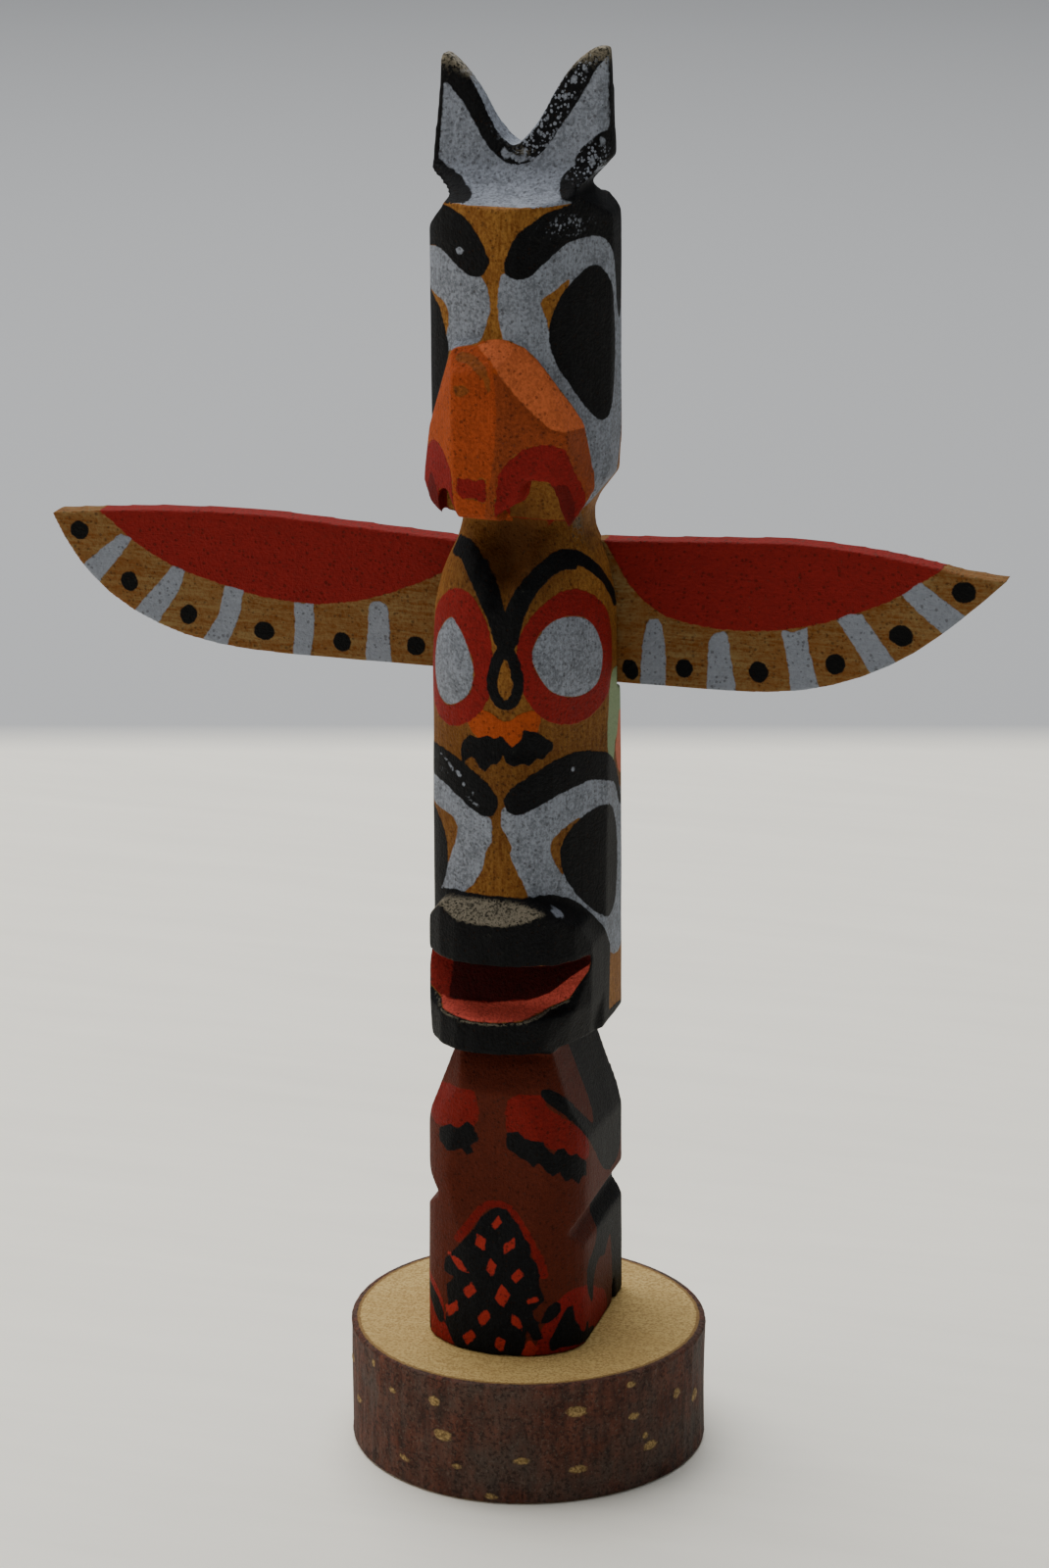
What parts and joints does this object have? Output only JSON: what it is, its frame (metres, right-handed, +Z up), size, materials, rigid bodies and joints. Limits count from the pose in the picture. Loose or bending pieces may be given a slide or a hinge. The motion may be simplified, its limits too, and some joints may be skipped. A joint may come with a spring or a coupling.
{
  "type": "totem pole",
  "caption": "Small carved and painted wooden totem pole with stacked animal faces, pricked ears and a swept wing board, glued to a slice of branch, as a tabletop ornament.",
  "frame": {"origin": "middle of the underside of the branch slice", "axes": "+Z up along the pole, -Y the way the faces look, +X towards the right-hand wing as seen from the front"},
  "size_m": [0.1225, 0.0441, 0.1783],
  "materials": {
    "pole": "bare yellow softwood, brush-painted in matt black, pale grey-blue, brick red, orange and brown",
    "wings": "bare yellow softwood, brush-painted in matt red, pale grey-blue and black",
    "base": "sawn pale end grain with its dark bark left on"
  },
  "bodies": {
    "root": {"pole": "pole", "wings": "wings", "base": "base"}
  },
  "joints": []
}
